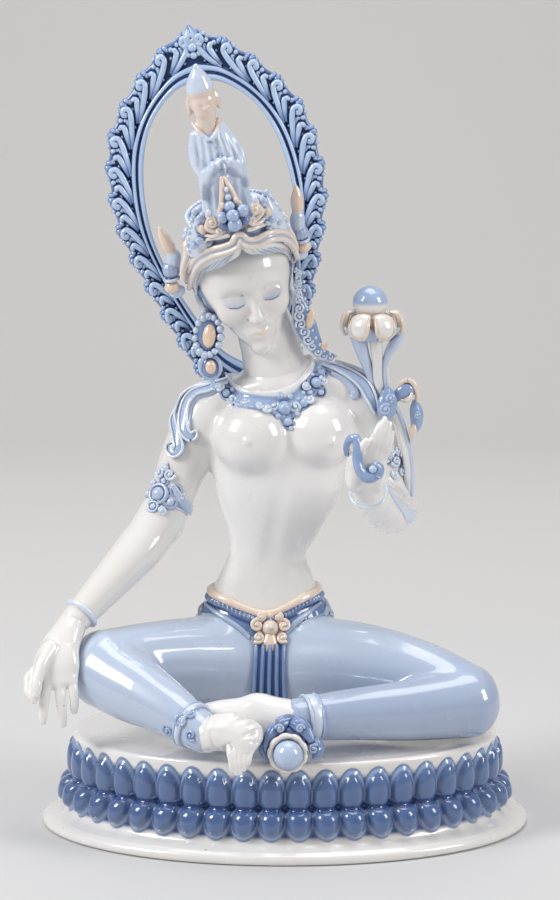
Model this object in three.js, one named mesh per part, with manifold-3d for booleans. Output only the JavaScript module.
// A goddess figurine in glazed porcelain, fired in one piece. She sits at ease on an oval lotus plinth, one
// hand hanging over her raised knee and the other holding a lotus stem, under a tall chignon, with a leafy halo
// rising from her back. Millimetres, +Z up. She faces -Y, her right hand is on the -X side, and the plinth
// stands on Z = 0 with its centre at the origin.
import * as THREE from "three";
import { mergeVertices } from "three/addons/utils/BufferGeometryUtils.js";
import Module from "manifold-3d";

const wasm = await Module();
wasm.setup();

// Plinth: an oval turned moulding, wider than it is deep, with two rows of lotus petals
const PLINTH_HALF_WIDTH = 123;
const PLINTH_DEPTH_SHARE = 0.7;
const PLINTH_TOP = 48;
const PETALS_PER_ROW = 44;
// Each point of the moulding is [distance in from the widest point, height, how far a petal stands out there]
const PLINTH_PROFILE = [
  [3, 0, 0], [0, 3, 0], [10, 8.6, 0], [12.2, 14, 6], [17.2, 25.5, 0], [16.4, 36, 4.8], [15.6, 44, 0],
  [17.6, PLINTH_TOP - 0.4, 0],
];

// Pose: the joints that the limbs run between
const CHEST_TURN = 7;
const SHOULDER_R = [-39.5, 17, 205.5];
const ELBOW_R = [-63, 9, 152];
const WRIST_R = [-104, -27, 109];
const SHOULDER_L = [40, 18.5, 211];
const ELBOW_L = [53.5, 20, 157];
const WRIST_L = [40.5, -34, 174];
const HIP_R = [-26, 11, 78];
const KNEE_R = [-90, -26, 86];
const ANKLE_R = [-39, -70, 61.5];
const HIP_L = [9, 11, 77];
const KNEE_L = [90, -25, 68.5];
const ANKLE_L = [6, -58, 66];

// Head: its centre, the ways it is bowed, turned and leant, in degrees, and its height from chin to crown
const HEAD_CENTRE = [-19.3, 2, 272.3];
const HEAD_BOW = 19;
const HEAD_TURN = 9;
const HEAD_LEAN = 14;
const HEAD_HEIGHT = 61;
const CHIGNON_TIP = 119;

// Halo: its tip, its lean, the length of its long axis, and its plate's thickness
const HALO_TIP = [-48, 37, 398];
const HALO_LEAN = 10;
const HALO_LENGTH = 204;
const HALO_SCROLLS = 14;
// Half widths of the halo's rim and of its opening, each as [distance down from the tip, half width]
const HALO_RIM = [
  [0, 0], [5, 12], [17, 27], [30, 39], [46, 49], [66, 53.5], [90, 53.5], [112, 48], [132, 41], [156, 32],
  [180, 21], [HALO_LENGTH, 0],
];
const HALO_OPENING = [
  [26, 0], [28, 10], [34, 19], [44, 27.5], [58, 33.5], [78, 37], [100, 36.5], [122, 31], [142, 23], [162, 12],
  [172, 0],
];
// The band's section from the rim over its face to the opening and round its back, each point as [share of the
// way from the opening to the rim in a hollow, the same on a leaf, height in a hollow, height on a leaf]
const HALO_SECTION = [
  [0.93, 1, 2, 3.4], [0.84, 0.88, 2.8, 8], [0.56, 0.56, 2.8, 7.4], [0.3, 0.3, 4, 5.4], [0.16, 0.16, 8, 8],
  [0, 0, 4, 4], [0, 0, 0, 0], [0.9, 0.95, 0, 0],
];
const HALO_LEAF_SWEEP = 0.06;

// Rosettes: how far the notches between petals are drawn in, and the height of the dome, as shares of the radius
const ROSETTE_NOTCH = 0.74;
const ROSETTE_RISE = 0.7;

const vec = (x, y, z) => new THREE.Vector3(x, y, z);
const ACROSS = vec(1, 0, 0);
const UPWARDS = vec(0, 0, 1);
const radians = THREE.MathUtils.degToRad;
const clamp = THREE.MathUtils.clamp;

// One station of a limb: a joint, shifted a little, with the half width and half depth of the flesh there.
const station = ([x, y, z], wide, deep = wide, [dx, dy, dz] = [0, 0, 0]) => [
  x + dx, y + dy, z + dz, wide, deep,
];

// A point on the way from one joint to another, pushed off the straight line.
const between = (from, to, share, [dx, dy, dz] = [0, 0, 0]) => [
  from[0] + (to[0] - from[0]) * share + dx,
  from[1] + (to[1] - from[1]) * share + dy,
  from[2] + (to[2] - from[2]) * share + dz,
];

// A body drawn out along a curve through its stations, each [x, y, z, half width, half depth in front, half
// depth behind]. It starts as a sphere whose latitude becomes the way along the curve and whose longitude
// becomes the way round it. The poles become its ends, each a dome as tall as `dome` times the flesh there, and
// every other column of its sides can be drawn in to flute it.
function limb(stations, { sides = 7, rows = 6, side = ACROSS, dome = 0.8, capRows = 1, flutes = 0 } = {}) {
  const path = new THREE.CatmullRomCurve3(stations.map(([x, y, z]) => vec(x, y, z)), false, "centripetal");
  const girths = stations.map(([, , , wide, front = wide, back = front]) => vec(wide, front, back));
  const girth = new THREE.CatmullRomCurve3(girths, false, "catmullrom", 0.5);
  const geometry = new THREE.SphereGeometry(1, sides, rows);
  const position = geometry.getAttribute("position");
  const cap = capRows / rows;
  const p = vec(0, 0, 0);
  for (let i = 0; i < position.count; i++) {
    p.fromBufferAttribute(position, i);
    const latitude = Math.acos(clamp(p.y, -1, 1)) / Math.PI;
    const fromEnd = Math.min(latitude, 1 - latitude);
    const turn = (Math.min(fromEnd / cap, 1) * Math.PI) / 2;
    const along = clamp((latitude - cap) / (1 - 2 * cap), 0, 1);
    const drawnIn = i % (sides + 1) % 2 ? 1 - flutes : 1;
    const round = vec(p.x, 0, p.z).normalize().multiplyScalar(Math.sin(turn) * drawnIn);
    const size = girth.getPoint(along);
    const tangent = path.getTangent(along);
    const wide = side.clone().addScaledVector(tangent, -side.dot(tangent)).normalize();
    const deep = tangent.clone().cross(wide);
    const past = Math.cos(turn) * dome * Math.min(size.x, size.y) * (latitude < 0.5 ? -1 : 1);
    p.copy(path.getPoint(along))
      .addScaledVector(tangent, past)
      .addScaledVector(wide, round.x * size.x)
      .addScaledVector(deep, round.z * (round.z < 0 ? size.y : size.z));
    position.setXYZ(i, p.x, p.y, p.z);
  }
  return geometry;
}

// A rounded lump: a sphere of a few faces, stretched, turned and set in place.
function lump(centre, [rx, ry, rz], { sides = 8, rows = 5, turn = [0, 0, 0] } = {}) {
  return new THREE.SphereGeometry(1, sides, rows)
    .rotateX(Math.PI / 2)
    .scale(rx, ry, rz)
    .applyMatrix4(turned(turn))
    .translate(...centre);
}

// A rosette: a low dome facing a direction, with every other column of it drawn in to part its petals.
function rosette(centre, axis, radius, petals) {
  const geometry = new THREE.SphereGeometry(radius, petals * 2, 3);
  const position = geometry.getAttribute("position");
  for (let i = 0; i < position.count; i++) {
    const drawnIn = i % (petals * 2 + 1) % 2 ? ROSETTE_NOTCH : 1;
    position.setXYZ(i, position.getX(i) * drawnIn, position.getY(i) * ROSETTE_RISE, position.getZ(i) * drawnIn);
  }
  const facing = new THREE.Quaternion().setFromUnitVectors(vec(0, 1, 0), vec(...axis).normalize());
  return geometry.applyQuaternion(facing).translate(...centre);
}

// A broad ring round a limb, such as a bangle.
function bangle(centre, axis, radius, breadth, sides = 7) {
  const facing = new THREE.Quaternion().setFromUnitVectors(vec(0, 1, 0), vec(...axis).normalize());
  return new THREE.CylinderGeometry(radius, radius, breadth, sides)
    .applyQuaternion(facing)
    .translate(...centre);
}

// A turn about X, then Z, then Y, in degrees, which bows, turns and leans what it is applied to.
function turned([aboutX, aboutY, aboutZ], origin = [0, 0, 0]) {
  return new THREE.Matrix4()
    .makeRotationY(radians(aboutY))
    .multiply(new THREE.Matrix4().makeRotationZ(radians(aboutZ)))
    .multiply(new THREE.Matrix4().makeRotationX(radians(aboutX)))
    .setPosition(...origin);
}

const placed = (shapes, matrix) => shapes.map((shape) => shape.applyMatrix4(matrix));

// A closed geometry as a solid that can be joined to others.
function solidOf(geometry) {
  const bare = geometry.index ? geometry.toNonIndexed() : geometry.clone();
  bare.deleteAttribute("normal");
  bare.deleteAttribute("uv");
  const closed = mergeVertices(bare, 1e-4);
  const vertProperties = closed.getAttribute("position").array;
  const triVerts = new Uint32Array(closed.index.array);
  return new wasm.Manifold(new wasm.Mesh({ numProp: 3, vertProperties, triVerts }));
}

// Many closed geometries joined into one, as slip joins porcelain before it is fired.
function luted(shapes) {
  let whole = solidOf(shapes[0]);
  for (const shape of shapes.slice(1)) whole = whole.add(solidOf(shape));
  const mesh = whole.getMesh();
  return new THREE.BufferGeometry()
    .setAttribute("position", new THREE.BufferAttribute(mesh.vertProperties, mesh.numProp))
    .setIndex(new THREE.BufferAttribute(mesh.triVerts, 1))
    .toNonIndexed();
}

// The oval plinth: a lathe profile whose columns are set at even steps round an oval, two to a petal, with
// every other column pushed out to the petals' keels. The lower petals hang over the foot and the upper ones
// stand up.
function plinth() {
  const profile = PLINTH_PROFILE.map(([inset, z]) => new THREE.Vector2(PLINTH_HALF_WIDTH - inset, z));
  const closed = [new THREE.Vector2(0, 0), ...profile, new THREE.Vector2(0, PLINTH_TOP)];
  const columns = PETALS_PER_ROW * 2;
  const geometry = new THREE.LatheGeometry(closed, columns);
  const position = geometry.getAttribute("position");
  const oval = new THREE.EllipseCurve(0, 0, 1, PLINTH_DEPTH_SHARE);
  for (let i = 0; i < position.count; i++) {
    const column = Math.floor(i / closed.length) % columns;
    const row = i % closed.length;
    const { x, y } = oval.getPointAt(column / columns);
    const [, , keel] = PLINTH_PROFILE[row - 1] ?? [0, 0, 0];
    const outward = vec(x, y / PLINTH_DEPTH_SHARE ** 2, 0).setLength(column % 2 ? keel : 0);
    position.setXYZ(i, x * closed[row].x + outward.x, y * closed[row].x + outward.y, closed[row].y);
  }
  return [geometry];
}

// The trunk from the seat to the base of the neck, with the yoke of the shoulders, the breasts and the neck.
function trunk() {
  const acrossChest = vec(Math.cos(radians(CHEST_TURN)), Math.sin(radians(CHEST_TURN)), 0);
  const body = limb(
    [
      [-9, 18, 58, 38, 25, 25], [-9, 17, 78, 37.5, 24, 26], [-10, 16, 97, 35, 21, 22],
      [-10, 16, 110, 31, 18.5, 19], [-9.5, 15, 123, 24, 16.5, 15.5], [-8.8, 14, 136, 19.6, 14.5, 13],
      [-6.5, 13, 150, 24.5, 15.5, 14], [-4.5, 13, 166, 31, 17.5, 16], [-2, 13.5, 184, 34.5, 19, 17],
      [0, 15, 200, 35, 19, 17], [-0.5, 16, 213, 28, 16.5, 14], [-3, 16, 223, 17, 11, 11],
    ],
    { sides: 12, rows: 11, side: acrossChest, dome: 0.4 },
  );
  const seat = [[-25, 25, 66], [8, 25, 66]].map((centre) => lump(centre, [21, 19, 20]));
  const yoke = limb(
    [[-39, 17, 208.5, 8.5], [-22, 16, 216, 10], [-3, 15, 222, 10.5], [20, 16, 221, 10.5], [40, 18, 214, 9.5]],
    { side: UPWARDS },
  );
  const breasts = [[-18.5, 2, 198], [17, 5.5, 199.5]].map((centre) => lump(centre, [18, 14, 18], { rows: 6 }));
  const neck = limb(
    [[-3, 15, 216, 21, 14], [-5, 12.5, 228, 15.5, 12.5], [-8, 10, 239, 14, 12], [-12, 9, 252, 14, 13]],
    { rows: 5 },
  );
  return [body, ...seat, yoke, ...breasts, neck];
}

// Both legs, in close-fitting trousers: the right knee is raised off the plinth, and its shin crosses in front.
function legs() {
  const thighR = [
    station(HIP_R, 26, 25), station(between(HIP_R, KNEE_R, 0.35, [0, 0, 1]), 23, 21.5),
    station(between(HIP_R, KNEE_R, 0.7, [0, 0, 1]), 20, 19), station(KNEE_R, 17.5, 18.5),
  ];
  const shinR = [
    station(KNEE_R, 18, 18, [1, -4, -3]), station(between(KNEE_R, ANKLE_R, 0.3, [0, -3, -1]), 17, 16.5),
    station(between(KNEE_R, ANKLE_R, 0.62, [0, -2, 0.5]), 13.5, 13.5), station(ANKLE_R, 9.3, 9.5),
  ];
  const thighL = [
    station(HIP_L, 26, 25), station(between(HIP_L, KNEE_L, 0.35, [0, 0, 4.5]), 23.5, 21.5),
    station(between(HIP_L, KNEE_L, 0.7, [0, 0, 4.5]), 20.5, 19), station(KNEE_L, 17.5, 18),
  ];
  const shinL = [
    station(KNEE_L, 17.5, 17, [1, -4, -1]), station(between(KNEE_L, ANKLE_L, 0.35, [0, -5, -1]), 15, 14.5),
    station(between(KNEE_L, ANKLE_L, 0.7, [0, -3, 0]), 12.5, 12), station(ANKLE_L, 10.5, 10),
  ];
  return [thighR, shinR, thighL, shinL].map((stations) =>
    limb(stations, { sides: 8, rows: 7, capRows: 2, dome: 0.9, side: UPWARDS }),
  );
}

// Feet and their ankle cuffs. The right foot hangs over the plinth's edge, and the left lies under her shin.
function feet() {
  const footR = limb(
    [
      station(ANKLE_R, 8.4, 8.4), [-28, -76, 65, 10, 8.5], [-18.5, -81.5, 61, 10.5, 8.5],
      [-16.5, -84, 53, 9, 6.5], [-19, -85, 45, 6, 4],
    ],
    { rows: 7, side: vec(0.8, -0.5, 0.3) },
  );
  const footL = limb(
    [station(ANKLE_L, 9.5, 9.5), [-10, -55, 67, 10, 9], [-26, -54, 66.5, 8, 8], [-41, -52, 66, 5.5, 7]],
    { rows: 5, side: UPWARDS },
  );
  const cuffR = bangle(between(KNEE_R, ANKLE_R, 0.9), [52, -42, -20], 11.6, 6);
  const cuffL = bangle(between(KNEE_L, ANKLE_L, 0.9), [-84, -33, -2], 12.4, 7);
  return [footR, footL, cuffR, cuffL];
}

// Arms: bare, with a band above each elbow and a bangle at each wrist.
function arms() {
  const upperR = [
    station(SHOULDER_R, 13, 13), station(between(SHOULDER_R, ELBOW_R, 0.35, [-1.5, 0, 0]), 12.8),
    station(between(SHOULDER_R, ELBOW_R, 0.75), 11.6), station(ELBOW_R, 11.6),
  ];
  const foreR = [
    station(ELBOW_R, 11.6), station(between(ELBOW_R, WRIST_R, 0.25, [0.5, 0, -1]), 12),
    station(between(ELBOW_R, WRIST_R, 0.6, [0.5, 0, -0.5]), 10), station(WRIST_R, 7.4),
  ];
  const upperL = [
    station(SHOULDER_L, 13, 13), station(between(SHOULDER_L, ELBOW_L, 0.35), 12.2),
    station(between(SHOULDER_L, ELBOW_L, 0.75), 11.4), station(ELBOW_L, 11.6),
  ];
  const foreL = [
    station(ELBOW_L, 11.6), station(between(ELBOW_L, WRIST_L, 0.3, [0, 0, -1.5]), 11.8),
    station(between(ELBOW_L, WRIST_L, 0.7, [0, 0, -1]), 10), station(WRIST_L, 8.4),
  ];
  const upperArms = [upperR, upperL].map((stations) => limb(stations, { rows: 5, capRows: 1, dome: 0.7 }));
  const forearms = [foreR, foreL].map((stations) => limb(stations, { rows: 4 }));
  const bands = [
    bangle(between(SHOULDER_R, ELBOW_R, 0.76), [-23, -8, -52], 12.8, 5),
    bangle(between(SHOULDER_L, ELBOW_L, 0.55), [12, 1, -48], 13.2, 5),
    bangle(between(ELBOW_R, WRIST_R, 0.95), [-41, -36, -43], 8.8, 3),
  ];
  const rosettes = [
    rosette([-59.5, 0, 167], [-0.2, -1, 0.1], 8, 4),
    rosette([59.5, 8, 178], [0.4, -1, 0], 7.5, 4),
  ];
  return [...upperArms, ...forearms, ...bands, ...rosettes];
}

// A finger from its knuckle through its middle joint to its tip, each [x, y, z], drawn in as it goes.
const finger = ([root, middle, tip], thickness = 3) =>
  limb([station(root, thickness), station(middle, thickness * 0.92), station(tip, thickness * 0.7)], {
    sides: 4,
    rows: 4,
  });

// The right hand hangs, palm out, over the knee. Its bent forefinger meets the thumb and the others point down.
function handR() {
  const palm = limb(
    [station(WRIST_R, 7, 6.4), [-110.5, -38, 99, 9.5, 6], [-113, -45, 88, 11, 5.2], [-111.5, -47, 81, 10.5, 4.4]],
    { rows: 5 },
  );
  const fingers = [
    [[-120, -46, 89], [-125.5, -50, 82], [-122.5, -53, 75]],
    [[-116.5, -47, 83], [-117.5, -50, 73], [-118, -50, 62.5]],
    [[-110.5, -47, 82], [-109.5, -50, 71.5], [-109, -49, 61]],
    [[-104.5, -46, 83], [-103.5, -48, 75], [-103.5, -47, 67.5]],
  ];
  const thumb = [[-115, -44, 98], [-119.5, -52, 88], [-121.5, -55, 77]];
  return [palm, ...fingers.map((joints) => finger(joints)), finger(thumb, 3.4)];
}

// The left hand is raised, palm out, and a lotus stem curls through it.
function handL() {
  const palm = limb(
    [station(WRIST_L, 8, 7), [40, -40, 183, 10.5, 7], [41, -44, 191, 11, 5.6], [42, -44, 196, 9.5, 4.4]],
    { rows: 5 },
  );
  const fingers = [
    [[36, -44, 194], [38, -49, 201], [36.5, -53, 205]],
    [[41, -44, 195], [44, -46, 204], [46, -46, 212]],
    [[46, -44, 194], [49, -46, 202], [51, -46, 208.5]],
    [[50, -43, 190], [53.5, -45, 197], [55, -45, 202]],
  ];
  const thumb = [[33, -42, 183], [30.5, -47, 190], [31.5, -50, 196]];
  const curl = limb(
    [
      [29, -44, 196, 1.8], [32.5, -49, 204, 2.6], [37, -51, 198, 2.6], [37.5, -52, 187, 2.6],
      [42, -52, 180.5, 3], [48.5, -51, 183, 3],
    ],
    { sides: 4, rows: 8 },
  );
  return [palm, ...fingers.map((joints) => finger(joints, 2.8)), finger(thumb, 3.2), curl];
}

// The head, in its own frame: its centre at the origin, the face towards -Y and the crown towards +Z.
function head() {
  const h = HEAD_HEIGHT / 2;
  const skull = limb(
    [
      [0, -9, -h + 2, 9, 7, 7], [0, -6, -25, 14.2, 12, 9], [0, -2, -18, 18.7, 16.5, 14],
      [0, -1, -8, 21.8, 18.4, 20], [0, 1, 2, 23, 19, 23.5], [0, 2, 11, 23.4, 20.6, 24],
      [0, 3, 20, 22, 19.5, 22.5], [0, 5, h - 4, 13, 12, 14],
    ],
    { sides: 12, rows: 10, dome: 0.5 },
  );
  const nose = limb([[0, -18.6, 3, 1.8, 1.8], [0, -21.2, -4, 2.3, 2.4], [0, -20.6, -8.4, 3.7, 2.6]], {
    sides: 5,
    rows: 4,
  });
  const lips = limb([[-4.6, -15.4, -15.6, 1, 2], [0, -17, -15.8, 2.3, 2.4], [4.6, -15.4, -15.6, 1, 2]], {
    sides: 4,
    rows: 4,
    side: UPWARDS,
  });
  const lids = [-8.4, 8.4].map((x) => lump([x, -16, 0], [5.2, 3, 3.2], { sides: 6, rows: 3 }));
  return [skull, nose, lips, ...lids];
}

// The hair: a cap over the back of the skull, and a tall chignon of rolled locks with a jewelled finial.
function hair() {
  const cap = lump([0, 6.5, 5], [25, 22.5, 27], { sides: 10, rows: 5 });
  const nape = lump([0, 14, -12], [17, 12, 14], { sides: 6, rows: 4 });
  const bundle = limb(
    [
      [-1, 2, 26, 20, 16], [-1, 1, 42, 13.5, 13], [0, 1, 58, 12.5, 12], [0.5, 1, 75, 14.5, 12.5],
      [0.5, 1, 86, 7, 7],
    ],
    { sides: 10, flutes: 0.16 },
  );
  const frontRoll = limb(
    [
      [-10.5, -5, 52, 3.4, 3], [-7.5, -11, 64, 4.6, 4.4], [-0.5, -13, 69, 5, 4.6], [6.5, -11, 65, 4.6, 4.4],
      [10.5, -5, 52, 3.4, 3],
    ],
    { sides: 5, side: UPWARDS },
  );
  const cup = limb([[0, 0, 84, 7, 7], [-0.8, 0, 92, 7.4, 7], [-1.4, 0, 103, 9.4, 8.6]], {
    sides: 8,
    rows: 4,
    dome: 0.1,
    flutes: 0.25,
  });
  const jewel = limb([[-1.6, 0, 102, 7, 7], [-2.2, 0, 108, 6.2, 6.2], [-3, 0, CHIGNON_TIP - 2.5, 2, 2]], {
    sides: 6,
    rows: 4,
  });
  return [cap, nape, bundle, frontRoll, cup, jewel];
}

// The crown: a cusped diadem over the brow, a wall of leaves behind it, and a tall finial at each temple.
function crown() {
  const diadem = [
    [-27.5, 4, 4], [-27, -7, 17], [-22.5, -15, 27.5], [-14, -20.5, 33], [-6, -23.5, 34], [-2, -25, 39],
    [2, -24.5, 34.5], [10, -23, 33.5], [18.5, -18, 33.5], [25.5, -8, 24], [27, 4, 8],
  ].map((point) => station(point, 3.6, 2.8));
  const wall = limb([[0, 2, 24, 25.5, 26, 19], [0, 2, 41, 21.5, 21, 18]], {
    sides: 12,
    rows: 3,
    dome: 0.1,
    flutes: 0.12,
  });
  const leaf = leafPlate([-2.5, -17, 38], 10, 29, -8);
  const sideLeaves = [-1, 1].map((s) => leafPlate([s * 16 - 1, -13, 36], 7, 17, -8));
  const flower = rosette([-2, -21, 46], [0, -1, 0.1], 9, 5);
  const finials = [-1, 1].flatMap((s) => [
    limb(
      [[s * 33, -2, 4, 5.4, 4.8], [s * 33, -2, 20, 4.6, 4], [s * 33.5, -1, 32, 4, 3.6], [s * 34.5, 0, 41, 2, 2]],
      { sides: 5, rows: 5 },
    ),
    lump([s * 28, -1, 10], [7, 5, 9], { sides: 5, rows: 3 }),
    limb([[s * 25, -7, 20, 2, 2], [s * 24.5, -9, 32, 3, 3]], { sides: 4, rows: 3 }),
  ]);
  return [limb(diadem, { sides: 4, rows: 11, side: UPWARDS }), wall, leaf, ...sideLeaves, flower, ...finials];
}

// A pointed leaf standing on its base, cut from a plate and tipped back.
function leafPlate([x, y, z], halfWidth, height, tip) {
  const outline = new THREE.Shape([
    new THREE.Vector2(-halfWidth, 0), new THREE.Vector2(halfWidth, 0),
    new THREE.Vector2(halfWidth * 0.62, height * 0.4), new THREE.Vector2(0, height),
    new THREE.Vector2(-halfWidth * 0.62, height * 0.4),
  ]);
  return new THREE.ExtrudeGeometry(outline, { depth: 4, bevelEnabled: false })
    .rotateX(Math.PI / 2)
    .rotateX(radians(tip))
    .translate(x, y + 2, z);
}

// Earrings: on her right an oval of beads with a smaller one under it, on her left a band down to the shoulder.
function earrings() {
  return [
    lump([-38.5, 0, 248], [8, 6.5, 11.5], { sides: 7, rows: 5 }),
    lump([-40, -5, 247.5], [3.4, 4, 5.5], { sides: 5, rows: 4 }),
    lump([-37.5, 3, 230], [5.4, 5.4, 6.4], { sides: 7, rows: 4 }),
    limb([[3, 4, 281, 4, 3], [7, 5, 266, 6, 4.5], [12, 6, 252, 6, 4.5], [20, 7, 239, 4, 3.4]], { sides: 6 }),
    lump([12.5, 1, 256], [3, 3, 5], { sides: 5, rows: 4 }),
  ];
}

// Scarves: each runs from under an earring over the shoulder, and ends in curls on the upper arm.
function scarves() {
  const right = [
    [
      [-33, 1, 230, 3, 2.4], [-42, 5, 218, 4.2, 2.8], [-50, 5, 206, 4.2, 2.6], [-52.5, 2, 196, 3.8, 2.6],
      [-49, 0, 189, 3.2, 2.4],
    ],
    [[-42, 8, 219, 3, 2.6], [-52, 10, 207, 4, 2.8], [-56, 7, 194, 3.8, 2.6], [-56, 2, 185, 3.8, 2.6]],
  ];
  const left = [
    [[17, 4, 242, 3.4, 3], [27, 5, 234, 4, 3], [38, 7, 228, 4.4, 3], [47, 8, 218, 4, 2.8], [51, 7, 206, 3, 2.4]],
    [[30, 7, 228, 3.2, 3], [36, 6, 221, 3.8, 3], [37, 4, 213, 3.4, 2.6]],
  ];
  return [...right, ...left].map((stations) => limb(stations, { sides: 4, side: vec(0.8, 0, -0.6) }));
}

// The collar round the base of the neck, with a rosette and a drop at its front and bosses along it.
function necklace() {
  const ring = new THREE.TorusGeometry(22.5, 4.2, 4, 12)
    .scale(1, 0.8, 0.8)
    .applyMatrix4(turned([22, -8, CHEST_TURN], [-3, 10.5, 221.5]));
  const forwards = [0.05, -1, 0.35];
  return [
    ring,
    rosette([1.5, -9.5, 211.5], forwards, 7.5, 5),
    lump([2, -10, 203.5], [3.6, 4, 4.4], { sides: 5, rows: 3 }),
    rosette([-14, -5.5, 213.5], forwards, 5, 4),
    rosette([17, -2.5, 219], forwards, 5.6, 4),
  ];
}

// The girdle: a band low on the hips, dipping to a rosette in front, with a pleated end hanging down.
function girdle() {
  const band = limb([[-10, 17, 98, 37, 26, 23.5], [-10, 15, 106, 35.5, 23.5, 21.5], [-10, 14, 113, 32, 21, 20.5]], {
    sides: 14,
    rows: 4,
    dome: 0.05,
  }).applyMatrix4(new THREE.Matrix4().makeRotationX(radians(9)).setPosition(0, 17, -1));
  const buckle = rosette([-7.5, -9, 101], [0, -1, 0.15], 9.5, 6);
  const pleats = limb([[-7.5, -4, 98, 8.6, 4.6], [-7.8, -20, 85, 9, 5.4], [-8, -34, 74, 9.4, 5.4]], {
    sides: 10,
    rows: 4,
    flutes: 0.2,
  });
  return [band, buckle, pleats];
}

// A lotus bud lying by her foot: a ball in a ring of petals, in a leafy calyx.
function footLotus() {
  return [
    lump([1, -72, 55], [9.6, 9, 8.4], { sides: 7, rows: 4 }),
    rosette([1, -78, 55], [0.05, -1, 0.12], 9.4, 5),
    lump([1.2, -80.5, 54.8], [5.6, 5.6, 5.6], { sides: 6, rows: 4 }),
    lump([9, -67, 54], [10, 5, 6], { sides: 5, rows: 4, turn: [0, 12, 20] }),
  ];
}

// The lotus plant at her left shoulder: a flower on its stems, and a leaf that curls back on itself.
function lotusPlant() {
  const stems = [
    [[57, 16, 160, 3.6, 3.4], [58, 14, 176, 3.6, 3.4], [55, 10, 195, 3.4, 3.2], [50.5, 8, 211, 4.6, 4.4]],
    [[50.5, 8, 210, 3.2, 3.2], [47, 7, 226, 2.6, 2.6], [44.5, 6, 238, 2.5, 2.5], [43, 5, 250, 3, 3]],
    [[51, 8, 210, 2.6, 2.6], [49.5, 9, 228, 2.2, 2.2], [52, 9, 238, 2.6, 2.6], [57, 8, 247, 3, 3]],
    [[50, 9, 212, 2.4, 2.4], [41, 9, 226, 2.6, 2.6], [33, 7, 244, 4.6, 3]],
    [[61, 15, 164, 2.4, 2.4], [64, 13, 184, 2.2, 2.2], [59, 9, 204, 2.2, 2.2], [54, 8, 213, 2, 2]],
  ].map((stations) => limb(stations, { sides: 4, rows: 4 }));
  const flower = [
    limb([[42.3, 5, 244, 14, 14], [42.3, 5, 250, 17, 17], [41.8, 5, 257, 10, 10]], {
      sides: 14,
      rows: 4,
      dome: 0.1,
      flutes: 0.12,
    }),
    lump([41.5, 5, 262.8], [9, 9, 8.8]),
  ];
  const leaf = limb(
    [
      [60, 10, 198, 2.6, 2.4], [65, 10, 207, 3.2, 2.6], [66.5, 10, 215, 3.2, 2.6], [62, 10, 220.5, 3.2, 2.6],
      [57.5, 10, 216, 3.2, 2.6], [60, 10, 211.5, 2.6, 2.4],
    ],
    { sides: 4, rows: 7, side: vec(0, 1, 0) },
  );
  const tail = limb([[66, 10, 212, 2.6, 2.6], [67.5, 10, 203, 4, 3.4], [64.5, 11, 192, 3, 2.6], [63, 12, 182, 2, 2]], {
    sides: 4,
    rows: 4,
  });
  return [...stems, ...flower, leaf, tail];
}

// The halo in its own plane, with its tip at the origin: a torus drawn out to a pointed oval band, two columns
// to a leaf. Its section has a rib round the opening and hollows between leaves that sweep up from the rib to
// the rim. A pad of clay joins its foot to her back. X is across, Y is up, and Z comes forward.
function halo() {
  const rows = HALO_SECTION.length;
  const columns = HALO_SCROLLS * 4;
  const rim = halfOutline(HALO_RIM);
  const opening = halfOutline(HALO_OPENING);
  const geometry = new THREE.TorusGeometry(2, 1, rows, columns);
  const position = geometry.getAttribute("position");
  for (let i = 0; i < position.count; i++) {
    const [acrossHollow, acrossLeaf, hollow, leaf] = HALO_SECTION[Math.floor(i / (columns + 1)) % rows];
    const column = (i % (columns + 1)) % columns;
    const leftSide = column < columns / 2;
    const down = (leftSide ? column : columns - column) / (columns / 2);
    const onAxis = down === 0 || down === 1;
    const onLeaf = column % 2 === 1 || down === 0;
    const across = onLeaf ? acrossLeaf : acrossHollow;
    const sweep = onAxis ? 0 : HALO_LEAF_SWEEP * (1 - across) * Math.min(1, 4 * (1 - down), 8 * down);
    const share = down + sweep;
    const p = opening.getPointAt(share).lerp(rim.getPointAt(down), across);
    position.setXYZ(i, leftSide ? -p.x : p.x, p.y, onLeaf ? leaf : hollow);
  }
  const finial = lump([0, -3.5, 4], [5, 6.5, 4.4], { sides: 6, rows: 4 });
  const foot = lump([-1, -HALO_LENGTH + 16, 8], [15, 19, 12]);
  return [geometry, finial, foot];
}

// The right half of an outline, as a curve through its [distance down, half width] points.
const halfOutline = (points) =>
  new THREE.SplineCurve(points.map(([down, half]) => new THREE.Vector2(half, -down)));

const headFrame = turned([HEAD_BOW, -HEAD_LEAN, HEAD_TURN], HEAD_CENTRE);
const haloFrame = turned([90, -HALO_LEAN, 0], HALO_TIP);

const figurine = new THREE.Mesh(
  luted([
    ...plinth(),
    ...trunk(),
    ...legs(),
    ...feet(),
    ...arms(),
    ...handR(),
    ...handL(),
    ...placed([...head(), ...hair(), ...crown()], headFrame),
    ...earrings(),
    ...scarves(),
    ...necklace(),
    ...girdle(),
    ...footLotus(),
    ...lotusPlant(),
    ...placed(halo(), haloFrame),
  ]),
  new THREE.MeshStandardMaterial({ color: 0xe9e6e4, roughness: 0.12, metalness: 0 }),
);
figurine.name = "goddess_figurine";

const work = new THREE.Group();
work.add(figurine);

export default work;
